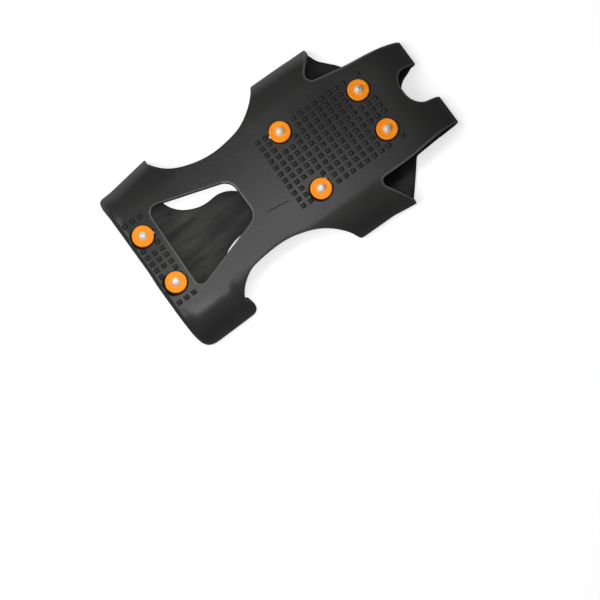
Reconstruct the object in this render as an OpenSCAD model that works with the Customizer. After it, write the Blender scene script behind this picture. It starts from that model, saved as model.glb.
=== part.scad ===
// Ice cleat: a one-piece rubber overshoe with six steel studs, lying on its bands with the tread up.
// The toe points along +X, the width lies along Y and +Z is up. All sizes are in millimetres.
// The origin is on the surface under the middle of the cleat's length and width.

/* [Overshoe] */
// Length from the heel wall to the toe fold
overshoe_l = 210; // [195:1:240]
// Width across the side folds
overshoe_w = 115.5; // [105:0.5:125]
// Height of the tread face above the surface that the cleat lies on
overshoe_h = 26; // [22:0.5:32]
// Thickness of the sole
sole_t = 4; // [3.4:0.1:5]
// Thickness of the side, heel and toe walls
wall_t = 2.6; // [2:0.1:3.2]
// Thickness of the heel and toe bands
band_t = 2.4; // [1.8:0.1:3]
// Outer radius where the sole rolls down into the sides
shoulder_r = 22.5; // [16:0.5:24]
// Outer radius where the sole rolls down into the toe
toe_r = 33; // [20:0.5:36]
// Outer radius of the heel edge
heel_r = 4; // [3.5:0.5:8]
// Forward lean of the heel wall, in degrees
heel_lean = 8; // [0:1:15]
// Outer radius where the walls fold into the bands
fold_r = 3.5; // [3:0.1:5]
// Inner radius of the same folds
inner_fold_r = 1; // [0.5:0.1:2]
// Radius of the two heel corners, seen from above
corner_r = 10; // [6:0.5:16]

/* [Openings in the sole] */
// Width of the waist at its narrowest
waist_w = 67; // [62:1:76]
// Heel wall to the narrowest place of the waist
waist = 74; // [66:0.5:82]
// Heel wall to the front of the heel wings
heel_wing_l = 36.5; // [32:0.5:40]
// Toe fold to the rear of the forefoot wings
wing_rear = 92; // [86:0.5:98]
// Toe fold to the front of the forefoot wings
wing_front = 52; // [46:0.5:56]
// Heel wall to the rear edge of the heel window
window_rear = 20; // [18:0.5:24]
// Heel wall to the front edge of the heel window
window_front = 72.5; // [60:0.5:80]
// Width of the heel window at its rear edge
window_rear_w = 60; // [50:1:62]
// Width of the heel window at its front edge
window_front_w = 27; // [20:1:36]
// Radius of the heel window's rear corners
window_rear_r = 6; // [3:0.5:9]
// Radius of the heel window's front corners
window_front_r = 9; // [4:0.5:11]
// Toe fold to the inner corner of the side windows
side_window = 66.5; // [60:0.5:70]
// Distance between the inner corners of the two side windows
side_window_w = 75; // [66:1:80]
// Radius of the side windows' inner corners
side_window_r = 4.5; // [2:0.5:7]
// Width across both toe horns
horn_w = 58; // [50:1:64]
// Width of the toe notch between the horns
notch_w = 26; // [16:1:32]
// Depth of the toe notch behind the toe fold
notch_l = 20; // [12:0.5:22]
// Radius of the notch's inner corners
notch_r = 12; // [4:0.5:13]

/* [Bands under the sole] */
// Heel wall to the rim of the heel band
heel_rim = 31; // [26:0.5:34]
// Width between the points where the rim turns into the pull tongue
flare_w = 54; // [46:1:60]
// Radius where the rim turns into the tongue
flare_r = 12; // [6:0.5:16]
// Heel wall to the tip of the pull tongue
tongue_l = 78; // [72:0.5:86]
// Diameter of the tongue's round end
tongue_d = 31; // [29:0.5:36]
// Width of the tongue's neck
neck_w = 28.5; // [24:0.5:28.5]
// Heel wall to the tongue's neck
neck = 48; // [44:0.5:52]
// How far the lobe at a heel wing's fold runs past the front of the wing
lip_l = 5.5; // [2:0.5:8]
// Width of that lobe
lip_w = 8; // [5:0.5:10]
// Toe fold to the rim of the toe band on the centre line
toe_rim = 63; // [56:0.5:70]
// Width of the toe band rim's middle stretch
toe_rim_w = 44; // [30:1:60]
// Toe fold to the inner corner of the side windows in the band
band_window = 34; // [30:0.5:42]

/* [Tread nubs] */
// Size of a nub along the cleat
nub_l = 2.8; // [2:0.1:3.6]
// Size of a nub across the cleat
nub_w = 2.6; // [2:0.1:3.4]
// Height of a nub
nub_h = 1.6; // [0.8:0.1:2.4]
// Pitch of the nubs along the cleat
nub_pitch_l = 5.3; // [4.6:0.1:6.5]
// Pitch of the nubs across the cleat
nub_pitch_w = 4.75; // [4.2:0.05:6]
// Nubs in a row across the forefoot
nubs_across = 11; // [7:1:13]
// Rows of nubs along the forefoot
nub_rows = 15; // [9:1:15]
// Nubs in a row across the heel
heel_nubs_across = 13; // [7:1:13]
// Rows of nubs along the heel
heel_nub_rows = 3; // [1:1:3]
// Toe fold to the foremost row of nubs
nub_front = 37; // [36:0.5:42]

/* [Studs] */
// Heel wall to the heel studs
heel_stud = 8.8; // [8.8:0.1:10]
// Distance between the two heel studs
heel_stud_w = 34.6; // [28:0.2:40]
// Toe fold to the rear pair of forefoot studs
ball_stud = 96.5; // [90:0.5:100]
// Distance between the rear pair of forefoot studs
ball_stud_w = 43.2; // [34:0.2:48]
// Toe fold to the front pair of forefoot studs
toe_stud = 42.5; // [40:0.5:48]
// Distance between the front pair of forefoot studs
toe_stud_w = 30; // [26:0.2:36]
// Diameter of a stud's plastic disc
disc_d = 13.4; // [11:0.1:15]
// Thickness of the disc
disc_t = 2.2; // [1.6:0.1:3]
// Radius of the disc's outer edge
disc_edge_r = 0.8; // [0.3:0.1:1]
// Depth of the shallow dish in the disc's face
dish_h = 0.3; // [0.1:0.1:0.6]
// Diameter of the dish
dish_d = 10.4; // [8:0.2:10.6]
// How far the moulding nib stands out from the disc's edge
nib_l = 0.6; // [0.4:0.1:1.2]
// Width of the moulding nib
nib_w = 1; // [0.6:0.1:1.6]
// Diameter of the steel spike's shank
shank_d = 5.4; // [4:0.1:6.4]
// Diameter of the spike's root flange
root_d = 11; // [9:0.1:13]
// Thickness of the root flange
root_t = 1.3; // [0.8:0.1:1.6]
// Height of the spike's cone above the disc
cone_h = 2.6; // [1.6:0.1:3.4]
// Diameter of the cone's flat end
cone_end_d = 3.6; // [3:0.1:3.8]
// Diameter of the carbide tip
tip_d = 2.2; // [1.6:0.1:2.6]
// How far the carbide tip stands out of the cone
tip_out = 1.2; // [0.6:0.1:2]
// Length of the carbide tip inside the spike
tip_in = 3; // [2:0.1:4]
// Bevel on the carbide tip's end
tip_bevel = 0.4; // [0.2:0.1:0.6]

/* [Clearances] */
// Radial gap round a spike in its hole, so that the stud can turn
turn_gap = 0.05; // [0.02:0.01:0.1]
// Gap between a turning stud and the faces of the sole
face_gap = 0.05; // [0.02:0.01:0.2]
// Gap between a stud's own pieces, which are pressed together
press_gap = 0.01; // [0.005:0.005:0.03]
// How far a spike's root lies behind the footbed
root_sink = 0.2; // [0.1:0.1:0.6]
// Radial gap round a spike's root in its seat
seat_gap = 0.3; // [0.2:0.1:1]
// Gap between the nubs and the path of a disc's nib
nub_gap = 0.15; // [0.1:0.05:1.2]

/* [Hidden] */
half_w = overshoe_w / 2;
footbed_z = overshoe_h - sole_t;
// How far a cut runs past the faces that it opens.
margin = 6;
// Straight steps in a large arc, a small arc and each half of the waist's edge.
arc_steps = 10;
small_arc_steps = 6;
waist_steps = 14;
// Depth of a nub inside the sole.
nub_root = 1.6;

// Places along the cleat, given as a distance from the heel wall or from the toe fold.
function from_heel(d) = d - overshoe_l / 2;
function from_toe(d) = overshoe_l / 2 - d;

// The six studs: name, place and the angle of the disc's nib.
studs = [
    ["heel_left", from_heel(heel_stud), heel_stud_w / 2, -15],
    ["heel_right", from_heel(heel_stud), -heel_stud_w / 2, 200],
    ["ball_left", from_toe(ball_stud), ball_stud_w / 2, 175],
    ["ball_right", from_toe(ball_stud), -ball_stud_w / 2, 32],
    ["toe_left", from_toe(toe_stud), toe_stud_w / 2, 178],
    ["toe_right", from_toe(toe_stud), -toe_stud_w / 2, 215],
];
pieces = ["disc", "spike", "tip"];

// The waist cut on each side: a quarter ellipse from the heel wing to the narrowest place,
// then a circle's arc to the forefoot wing.
waist_x = from_heel(waist);
waist_x0 = from_heel(heel_wing_l);
waist_x1 = from_toe(wing_rear);
waist_rise = half_w - waist_w / 2;
waist_run = waist_x1 - waist_x;
waist_r = (waist_run * waist_run + waist_rise * waist_rise) / (2 * waist_rise);
waist_turn = 2 * atan2(waist_rise, waist_run);
waist_edge = concat(
    [for (k = [0:waist_steps]) let (a = 90 - 90 * k / waist_steps)
        [waist_x - (waist_x - waist_x0) * sin(a), waist_w / 2 + waist_rise * (1 - cos(a))]],
    [for (k = [1:waist_steps]) let (a = waist_turn * k / waist_steps)
        [waist_x + waist_r * sin(a), waist_w / 2 + waist_r * (1 - cos(a))]]
);

// Heights in a stud, counted from the tread face.
root_bottom = root_sink - sole_t;
root_top = root_bottom + root_t;
seat_top = root_top + face_gap;
disc_bottom = face_gap;
disc_top = disc_bottom + disc_t;
cone_top = disc_top + cone_h;
stud_reach = disc_d / 2 + nib_l;
nub_half_diagonal = norm([nub_l, nub_w]) / 2;
nub_keep_off = stud_reach + nub_gap + nub_half_diagonal;

// Points on an arc about c.
function arc(c, r, a0, a1, steps) =
    [for (k = [0:steps]) let (a = a0 + (a1 - a0) * k / steps) c + r * [cos(a), sin(a)]];

function unit(v) = v / norm(v);

// One corner of an outline, [x, y, radius], as points on its fillet.
function fillet(before, corner, after) =
    let (
        p = [corner[0], corner[1]],
        u = unit([before[0], before[1]] - p),
        v = unit([after[0], after[1]] - p),
        half = acos(u * v) / 2,
        room = min(norm([before[0], before[1]] - p), norm([after[0], after[1]] - p)) / 2,
        r = min(corner[2], room * tan(half)),
        c = p + unit(u + v) * r / sin(half),
        first = p + u * r / tan(half) - c,
        last = p + v * r / tan(half) - c,
        a0 = atan2(first[1], first[0]),
        turn = (atan2(last[1], last[0]) - a0 + 540) % 360 - 180
    )
    corner[2] == 0 ? [p] : arc(c, r, a0, a0 + turn, small_arc_steps);

// An outline with all its corners rounded.
function rounded(corners) =
    let (n = len(corners))
    [for (i = [0:n - 1]) each fillet(corners[(i + n - 1) % n], corners[i], corners[(i + 1) % n])];

// The same corners on the other side of the centre line, in the order that closes an outline.
function mirrored(corners) =
    [for (i = [len(corners) - 1:-1:0]) [corners[i][0], -corners[i][1], corners[i][2]]];

// A side that rolls down from the level z1 by a large radius and folds in at z0 by a small one.
// It runs from the top to the bottom and its outermost point lies at reach.
function roll(reach, r_top, r_low, z0, z1) =
    let (
        sink = max(0, r_top + r_low - (z1 - z0)),
        a = asin(min(1, sink / (r_top - r_low))),
        low = [reach - r_low, z0 + r_low],
        top = [low[0] - (r_top - r_low) * cos(a), z1 - r_top]
    )
    concat(
        arc(top, r_top, 90, a, arc_steps),
        arc(low, r_low, a, 0, 2),
        arc(low, r_low, 0, -90, small_arc_steps)
    );

// The heel edge, from the bottom to the top: a fold, a leaning wall and a rounded edge.
function heel(reach, r_top, r_low, z0, z1) =
    let (
        top = [reach + r_top, z1 - r_top],
        lean = sin(heel_lean) * (z1 - r_top - z0 - r_low),
        low = [top[0] + (lean - r_top + r_low) / cos(heel_lean), z0 + r_low]
    )
    concat(
        arc(low, r_low, 270, 180 + heel_lean, small_arc_steps),
        arc(top, r_top, 180 + heel_lean, 180, 2),
        arc(top, r_top, 180, 90, small_arc_steps)
    );

// The same points on the other side of the centre line, from last to first.
function other_side(points) = [for (i = [len(points) - 1:-1:0]) [-points[i][0], points[i][1]]];

// The solid inside the overshoe's outer faces, or with inner set, the space inside its inner faces.
module pouch(inner) {
    wall = inner ? wall_t : 0;
    low_r = inner ? inner_fold_r : fold_r;
    z0 = inner ? band_t : 0;
    z1 = inner ? footbed_z : overshoe_h;
    y1 = half_w - wall;
    rear = wall - overshoe_l / 2;
    past_toe = overshoe_l / 2 + margin;
    side = roll(y1, shoulder_r - wall, low_r, z0, z1);
    toe = roll(overshoe_l / 2 - wall, toe_r - wall, low_r, z0, z1);
    back = heel(rear, heel_r - wall, low_r, z0, z1);
    intersection() {
        rotate([90, 0, 90])
            linear_extrude(overshoe_l + 2 * margin, center = true)
                polygon(concat(side, other_side(side)));
        rotate([90, 0, 0])
            linear_extrude(overshoe_w + 2 * margin, center = true)
                polygon(concat(back, toe));
        translate([0, 0, -margin])
            linear_extrude(overshoe_h + 2 * margin)
                polygon(rounded([
                    [rear, -y1, corner_r - wall],
                    [past_toe, -y1, 0],
                    [past_toe, y1, 0],
                    [rear, y1, corner_r - wall],
                ]));
    }
}

// Lobe at the front of the left heel wing, where its side folds under.
module wing_lobe() {
    polygon(rounded([
        [waist_x0 - margin, half_w - lip_w, 0],
        [from_heel(heel_wing_l + lip_l), half_w - lip_w, lip_w / 3],
        [from_heel(heel_wing_l + lip_l), half_w + 2 * margin, 0],
        [waist_x0 - margin, half_w + 2 * margin, 0],
    ]));
}

// Cut at the waist, on the left side, in front of the lobe.
module waist_cut() {
    difference() {
        polygon(concat(waist_edge, [[waist_x1, half_w + margin], [waist_x0, half_w + margin]]));
        wing_lobe();
    }
}

module heel_window() {
    polygon(rounded([
        [from_heel(window_rear), -window_rear_w / 2, window_rear_r],
        [from_heel(window_front), -window_front_w / 2, window_front_r],
        [from_heel(window_front), window_front_w / 2, window_front_r],
        [from_heel(window_rear), window_rear_w / 2, window_rear_r],
    ]));
}

// Window beside the toe in the sole, on the left side.
module side_window_cut() {
    inner = [from_toe(side_window), side_window_w / 2];
    wing = [from_toe(wing_front), half_w];
    past_wing = wing + (wing - inner) / 2;
    polygon(rounded([
        [inner[0], inner[1], side_window_r],
        [from_toe(-margin), horn_w / 2, 0],
        [from_toe(-margin), past_wing[1], 0],
        [past_wing[0], past_wing[1], 0],
    ]));
}

// The same window in the band that lies under the sole.
module band_window_cut() {
    polygon(rounded([
        [from_toe(wing_front), half_w - fold_r, fold_r],
        [from_toe(band_window), horn_w / 2 + fold_r, side_window_r],
        [from_toe(-margin), horn_w / 2, 0],
        [from_toe(-margin), half_w + margin, 0],
        [from_toe(wing_front), half_w + margin, 0],
    ]));
}

// Notch between the toe horns, in the sole and in the band.
module toe_notch() {
    polygon(rounded([
        [from_toe(notch_l), -notch_w / 2, notch_r],
        [from_toe(-margin), -notch_w / 2, 0],
        [from_toe(-margin), notch_w / 2, 0],
        [from_toe(notch_l), notch_w / 2, notch_r],
    ]));
}

// Pull tongue in the middle of the heel band, with a round end.
module tongue() {
    end = from_heel(tongue_l - tongue_d / 2);
    translate([end, 0])
        circle(d = tongue_d, $fn = 72);
    left = [
        [end, neck_w / 2, 0],
        [from_heel(neck), neck_w / 2, flare_r],
        [from_heel(heel_rim), flare_w / 2, flare_r],
        [from_heel(heel_rim), half_w - lip_w, 0],
        [from_heel(heel_rim) - margin, half_w - lip_w, 0],
    ];
    polygon(rounded(concat(left, mirrored(left))));
}

// The opening for the shoe, between the heel band and the toe band.
module foot_opening() {
    lip_y = half_w - lip_w;
    lip_x = from_heel(heel_wing_l + lip_l);
    left = [
        [from_heel(heel_rim), lip_y, lip_w / 2],
        [lip_x, lip_y, lip_w / 3],
        [lip_x, half_w + margin, 0],
        [waist_x1, half_w + margin, 0],
        [waist_x1, half_w - fold_r, fold_r],
        [from_toe(toe_rim), toe_rim_w / 2, toe_rim_w / 2],
    ];
    difference() {
        polygon(rounded(concat(left, mirrored(left))));
        tongue();
    }
}

// Makes a left-hand cut on both sides.
module both_sides() {
    children();
    mirror([0, 1, 0]) children();
}

module sole_cuts() {
    translate([0, 0, fold_r])
        linear_extrude(overshoe_h) {
            heel_window();
            both_sides() waist_cut();
            both_sides() side_window_cut();
        }
}

module band_cuts() {
    translate([0, 0, -margin])
        linear_extrude(margin + fold_r) {
            foot_opening();
            both_sides() band_window_cut();
        }
}

module toe_cut() {
    translate([0, 0, -margin])
        linear_extrude(overshoe_h + 2 * margin)
            toe_notch();
}

// Hole for one spike, with a seat for its root on the footbed side.
module stud_hole() {
    translate([0, 0, -sole_t - face_gap])
        cylinder(h = sole_t + 2 * face_gap, d = shank_d + 2 * turn_gap, $fn = 48);
    translate([0, 0, -sole_t - face_gap])
        cylinder(h = sole_t + face_gap + seat_top, d = root_d + 2 * seat_gap, $fn = 64);
}

module at_stud(s) {
    translate([s[1], s[2], overshoe_h]) children();
}

function clear_of_studs(p) =
    min([for (s = studs) norm(p - [s[1], s[2]])]) > nub_keep_off;

// A field of square nubs whose rear row lies at x.
module nub_field(x, rows, across) {
    for (i = [0:rows - 1], j = [0:across - 1]) {
        p = [x + i * nub_pitch_l, (j - (across - 1) / 2) * nub_pitch_w];
        if (clear_of_studs(p))
            translate([p[0] - nub_l / 2, p[1] - nub_w / 2, overshoe_h - nub_root])
                cube([nub_l, nub_w, nub_h + nub_root]);
    }
}

module overshoe() {
    color([0.2, 0.2, 0.2])
        union() {
            difference() {
                pouch(inner = false);
                pouch(inner = true);
                sole_cuts();
                band_cuts();
                toe_cut();
                for (s = studs) at_stud(s) stud_hole();
            }
            nub_field(from_toe(nub_front) - (nub_rows - 1) * nub_pitch_l, nub_rows, nubs_across);
            nub_field(from_heel(heel_stud) - (heel_nub_rows - 1) / 2 * nub_pitch_l,
                heel_nub_rows, heel_nubs_across);
        }
}

// Plastic disc with a rounded edge, a shallow dish and the nib left by its mould.
module stud_disc(s) {
    bore = shank_d / 2 + press_gap;
    r = disc_d / 2;
    edge = [r - disc_edge_r, disc_top - disc_edge_r];
    color([0.98, 0.55, 0.1])
        at_stud(s) {
            rotate_extrude($fn = 96)
                polygon(concat(
                    [[bore, disc_bottom], [r, disc_bottom]],
                    arc(edge, disc_edge_r, 0, 90, small_arc_steps),
                    [[dish_d / 2, disc_top], [dish_d / 2 - dish_h, disc_top - dish_h]],
                    [[bore, disc_top - dish_h]]
                ));
            rotate([0, 0, s[3]])
                translate([r - disc_edge_r, -nib_w / 2, disc_bottom])
                    cube([disc_edge_r + nib_l, nib_w, nib_w]);
        }
}

// Steel spike: a root flange behind the sole, a shank through it and a cone above the disc.
module stud_spike(s) {
    r = shank_d / 2;
    color([0.85, 0.88, 0.88])
        at_stud(s)
            difference() {
                rotate_extrude($fn = 64)
                    polygon([
                        [0, root_bottom],
                        [root_d / 2, root_bottom],
                        [root_d / 2, root_top],
                        [r, root_top],
                        [r, disc_top],
                        [cone_end_d / 2, cone_top],
                        [0, cone_top],
                    ]);
                translate([0, 0, cone_top - tip_in])
                    cylinder(h = tip_in + cone_h, d = tip_d + 2 * press_gap, $fn = 48);
            }
}

// Carbide tip, pressed into the spike.
module stud_tip(s) {
    r = tip_d / 2;
    color([0.5, 0.55, 0.6])
        at_stud(s)
            rotate_extrude($fn = 48)
                polygon([
                    [0, cone_top - tip_in],
                    [r, cone_top - tip_in],
                    [r, cone_top + tip_out - tip_bevel],
                    [r - tip_bevel, cone_top + tip_out],
                    [0, cone_top + tip_out],
                ]);
}

overshoe();
for (s = studs) {
    stud_disc(s);
    stud_spike(s);
    stud_tip(s);
}
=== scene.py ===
from math import acos, asin, atan2, ceil, copysign, cos, hypot, pi, radians, sin, sqrt, tan, tau

import bmesh
import bpy
import numpy as np
from mathutils import Matrix, Vector
from mathutils.geometry import delaunay_2d_cdt


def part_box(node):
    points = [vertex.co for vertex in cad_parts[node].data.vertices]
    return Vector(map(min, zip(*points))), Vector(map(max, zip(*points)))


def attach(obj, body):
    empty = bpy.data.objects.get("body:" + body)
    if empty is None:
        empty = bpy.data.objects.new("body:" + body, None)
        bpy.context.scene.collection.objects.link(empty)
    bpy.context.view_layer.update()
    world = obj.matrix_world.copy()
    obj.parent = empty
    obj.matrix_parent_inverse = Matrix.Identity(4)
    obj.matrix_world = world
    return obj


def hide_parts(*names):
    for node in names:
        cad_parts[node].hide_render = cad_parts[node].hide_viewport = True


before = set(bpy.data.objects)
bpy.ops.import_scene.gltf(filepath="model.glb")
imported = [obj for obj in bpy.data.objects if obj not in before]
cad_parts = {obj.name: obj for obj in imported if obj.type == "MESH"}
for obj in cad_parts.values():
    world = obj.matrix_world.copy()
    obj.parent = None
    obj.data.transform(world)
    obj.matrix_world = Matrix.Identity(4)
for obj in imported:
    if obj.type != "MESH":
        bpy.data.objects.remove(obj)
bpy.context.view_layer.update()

# Sizes are in millimetres, but for the floor and lights. The toe points along +X, and +Z is up from the floor.
MM = 0.001

# Overshoe: overall size, sheet thicknesses and the radii that it is rolled and folded to.
LENGTH = 210.0
WIDTH = 115.5
HEIGHT = 26.0
SOLE_T = 4.0
WALL_T = 2.6
BAND_T = 2.4
SHOULDER_R = 22.5
TOE_R = 33.0
HEEL_R = 4.0
HEEL_LEAN = radians(8)
FOLD_R = 3.5
HEEL_X = -LENGTH / 2
TOE_X = LENGTH / 2
SIDE_Y = WIDTH / 2

# Waist, wings, windows and notch, cut in the sole.
WAIST_X = HEEL_X + 74.0
WAIST_Y = 33.5
HEEL_WING_X = HEEL_X + 36.5
WING_REAR_X = TOE_X - 92.0
WING_FRONT_X = TOE_X - 52.0
HEEL_WINDOW = [(-86.8, -29.7, 4.5), (-32.5, -12.4, 9.0), (-32.5, 15.3, 9.0), (-85.3, 31.6, 6.0)]
SIDE_WINDOW = (TOE_X - 68.2, 37.0)
SIDE_WINDOW_R = 4.5
HORN_Y = 29.0
HORN_LINE_END = TOE_X + 6.0
NOTCH_Y = 12.7
NOTCH_X = TOE_X - 20.5
NOTCH_R = 11.0

# Bands that lie on the floor under the sole.
LOBE_Y = SIDE_Y - 8.0
LOBE_RADII = (3, 5)
HEEL_RIM_X = HEEL_X + 31.0
TOE_RIM_X = TOE_X - 63.0
TOE_RIM_Y = 22.0
TOE_RIM_R = 22
BAND_WINDOW = (TOE_X - 34.0, HORN_Y + 2.6)
# A point of the overshoe below this height belongs to a band.
BAND_TOP_Z = 5
# The tongue's edge from its root to its end, on the left (1) and the right (-1). It lies a little bent to the left.
TONGUE = {
    1: [(-74, 33), (-71, 25.5), (-65.5, 19.5), (-57, 15.4), (-49.8, 14.4), (-43.6, 14.7), (-38.8, 13.8),
        (-34.2, 11.3), (-30.2, 7.6), (-27.9, 3.6), (-27, 0)],
    -1: [(-74, 33), (-71, 26.5), (-66, 22), (-58.5, 16.0), (-50.7, 12.9), (-44.5, 12.1), (-39.5, 12.2),
         (-35, 11.9), (-30.5, 9), (-27.8, 4.5), (-27, 0)],
}

# Mesh spacing of the sheet, and how near a point of its grid may lie to an edge and to an extra point, in steps.
SHEET_STEP = 1.9
EDGE_STEP = 1.4
EDGE_CLEAR = 0.62
EXTRA_CLEAR = 0.7
# A point inset from an outline is kept where it lies at least this share of its depth away from it.
INSET_CLEAR = 0.85

# Rounding of the cut edges.
RIM_STEPS = 6
RIM_BULGE = 0.8
HOLE_BULGE = 0.1
RIM_SQUARENESS = 0.7

# The windows' edges get a painted highlight that reaches onto the face beside them: the heel window's, out to
# WINDOW_Y, and those in front of TOE_EDGES_X.
# On one side of the heel window, within the x and y ranges below, this painted highlight is faint.
HIGHLIGHT_W = 0.8
FACE_HIGHLIGHT = 0.8
WINDOW_Y = 31.5
TOE_EDGES_X = 40
DIM_HIGHLIGHT = 0.2
DIM_HIGHLIGHT_X = (-83, -38)
DIM_HIGHLIGHT_Y = (12, 31.5)

# The inside face is duller at the heel and has its own tone there: lighter streaks, partly dust smears and partly
# painted light, with painted shade further forward. Both fade by this share from one x to the other.
DULL_LOSS = 0.85
DULL_X = (-20, 20)

# Studs: the seat that a spike's root lies in, and the angle of the nib left on the edge of three of the discs.
SEAT_R = 6.0
SEAT_TOP_Z = 23.55
SEAT_MARGIN = 0.2
SHANK_HOLE_R = 2.75
STUDS = ["heel_left", "heel_right", "ball_left", "ball_right", "toe_left", "toe_right"]
NIB_ANGLES = {"heel_left": -15, "ball_left": 175, "ball_right": 32}

# A shallow groove in the rubber round each disc, whose bottom gets painted shade: the radii where its bottom and its
# wall end, and its depth.
# A ring of points just past the wall keeps the sole flat round it.
GROOVE_BOTTOM_R = 7.2
GROOVE_WALL_R = 7.5
GROOVE_FLAT_R = 7.65
GROOVE_DEPTH = 0.5
SEAT_SIDES = 48


def stud_centre(name):
    low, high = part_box(f"{name}_spike")
    return Vector(((low.x + high.x) / 2 / MM, (low.y + high.y) / 2 / MM))


STUD_CENTRES = {name: stud_centre(name) for name in STUDS}


def part_way(value, start, end):
    """How far a value is from start to end, from 0 to 1."""
    return min(1.0, max(0.0, (value - start) / (end - start)))


def ramp(value, start, end):
    """The same, with a smooth start and end."""
    share = part_way(value, start, end)
    return share * share * (3 - 2 * share)


def feed(tree, made, inputs):
    """Links or sets the inputs of a node."""
    for key, value in inputs.items():
        if isinstance(value, bpy.types.NodeSocket):
            tree.links.new(value, made.inputs[key])
        else:
            made.inputs[key].default_value = value


def node(tree, kind, inputs=None, **settings):
    """The outputs of a new node."""
    made = tree.nodes.new(kind)
    for key, value in settings.items():
        setattr(made, key, value)
    feed(tree, made, inputs or {})
    return made.outputs


def maths(tree, operation, a, b):
    return node(tree, "ShaderNodeMath", {0: a, 1: b}, operation=operation)[0]


def linked(name, data):
    """A new object in the scene."""
    made = bpy.data.objects.new(name, data)
    bpy.context.scene.collection.objects.link(made)
    return made


# The rolled and folded sheet. A point of the upper sheet is given by (p, q), the place it has when the
# sheet is laid flat: p along the cleat and q across it.
SIDE_Q = SIDE_Y - SHOULDER_R
HEEL_P = HEEL_X + HEEL_R
CORNER_IN = 8.0
CORNER = Vector((HEEL_P + CORNER_IN, SIDE_Q - CORNER_IN))
CORNER_POWER = {1: 9, -1: 3.4}
CORNER_SPAN = radians(45)
FOLD_RUN = 10.0
HEEL_EDGE_RUN = 9.0
SIDE_RUN = SHOULDER_R * pi / 2
HEEL_LOW = HEEL_R - FOLD_R - sin(HEEL_LEAN) * (HEIGHT - HEEL_R - FOLD_R)
HEEL_LOW_INSET = -HEEL_LOW / cos(HEEL_LEAN) - FOLD_R + HEEL_R
HEEL_WALL_RUN = (HEIGHT - HEEL_R - FOLD_R) / cos(HEEL_LEAN)
TOE_SINK = TOE_R + FOLD_R - HEIGHT
TOE_TURN = asin(TOE_SINK / (TOE_R - FOLD_R))
TOE_P = TOE_X - FOLD_R - (TOE_R - FOLD_R) * cos(TOE_TURN)
TOE_RUN = TOE_R * (pi / 2 - TOE_TURN)


def heel_wall(share):
    """The heel below its outermost line: how far inside that line, and how high, at a share of the run."""
    run = share * (HEEL_WALL_RUN + FOLD_RUN)
    turn = HEEL_LEAN + (pi / 2 - HEEL_LEAN) * max(0.0, run - HEEL_WALL_RUN) / FOLD_RUN
    end_in, end_z = HEEL_R + HEEL_LOW_INSET - FOLD_R * cos(turn), FOLD_R - FOLD_R * sin(turn)
    if run >= HEEL_WALL_RUN:
        return end_in, end_z
    along = run / HEEL_WALL_RUN
    # The rounding of the heel's edge runs out over the first quarter of the wall.
    start_in, start_z = HEEL_R * (1 - cos(HEEL_LEAN)), HEIGHT - HEEL_R
    return start_in * min(1, 4 * along) + (end_in - start_in) * along, start_z + (end_z - start_z) * along


def side_fold(share):
    turn = share * pi / 2
    return FOLD_R * (1 - cos(turn)), FOLD_R * (1 - sin(turn))


def roll_runs(heel):
    """Runs of the roll and of what lies below it. heel is 0 at the sides, 1 at the heel, between at a corner."""
    return SIDE_RUN + (HEEL_EDGE_RUN - SIDE_RUN) * heel, FOLD_RUN + HEEL_WALL_RUN * heel


def roll(heel, run, inner, outer):
    """Reach, height and thickness at a run past the flat sole, where the roll starts at inner and reaches outer."""
    upper, lower = roll_runs(heel)
    fold_z = FOLD_R + (HEIGHT - HEEL_R - FOLD_R) * heel
    if run <= upper:
        turn = run / upper * pi / 2
        thick = SOLE_T + (WALL_T - SOLE_T) * run / upper
        return inner + (outer - inner) * sin(turn), fold_z + (HEIGHT - fold_z) * cos(turn), thick
    share = min(1.0, (run - upper) / lower)
    side, wall = side_fold(share), heel_wall(share)
    inset = side[0] + (wall[0] - side[0]) * heel
    z = side[1] + (wall[1] - side[1]) * heel
    return outer - inset, max(0.0, z), WALL_T + (BAND_T - WALL_T) * share


def toe_roll(run):
    if run <= TOE_RUN:
        turn = pi / 2 - run / TOE_R
        thick = SOLE_T + (WALL_T - SOLE_T) * run / TOE_RUN
        return TOE_P + TOE_R * cos(turn), HEIGHT - TOE_R + TOE_R * sin(turn), thick
    share = min(1.0, (run - TOE_RUN) / FOLD_RUN)
    turn = TOE_TURN - (TOE_TURN + pi / 2) * share
    return TOE_X - FOLD_R + FOLD_R * cos(turn), FOLD_R + FOLD_R * sin(turn), WALL_T + (BAND_T - WALL_T) * share


def corner_reach(angle, side):
    """Distance from a heel corner's centre to its outermost line, on the left (1) or right (-1)."""
    rear, out, power = CORNER.x - HEEL_X, SIDE_Y - CORNER.y, CORNER_POWER[side]
    return ((abs(sin(angle)) / rear) ** power + (abs(cos(angle)) / out) ** power) ** (-1 / power)


def corner_heel(angle):
    return ramp(angle, 0, CORNER_SPAN)


def upper_sheet(p, q):
    """The outer face of the upper sheet: point and thickness."""
    side, q = (1 if q >= 0 else -1), abs(q)
    if p < CORNER.x and q > CORNER.y:
        back, out = CORNER.x - p, q - CORNER.y
        away, angle = hypot(back, out), atan2(back, out)
        if away > CORNER_IN:
            reach, z, thick = roll(corner_heel(angle), away - CORNER_IN, CORNER_IN, corner_reach(angle, side))
            return (CORNER.x - reach * sin(angle), side * (CORNER.y + reach * cos(angle)), z), thick
    elif q > SIDE_Q:
        reach, z, thick = roll(0, q - SIDE_Q, SIDE_Q, SIDE_Y)
        return (p, side * reach, z), thick
    elif p < HEEL_P:
        reach, z, thick = roll(1, HEEL_P - p, -HEEL_P, -HEEL_X)
        return (-reach, side * q, z), thick
    elif p > TOE_P:
        x, z, thick = toe_roll(p - TOE_P)
        return (x, side * q, z), thick
    return (p, side * q, HEIGHT), SOLE_T


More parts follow.
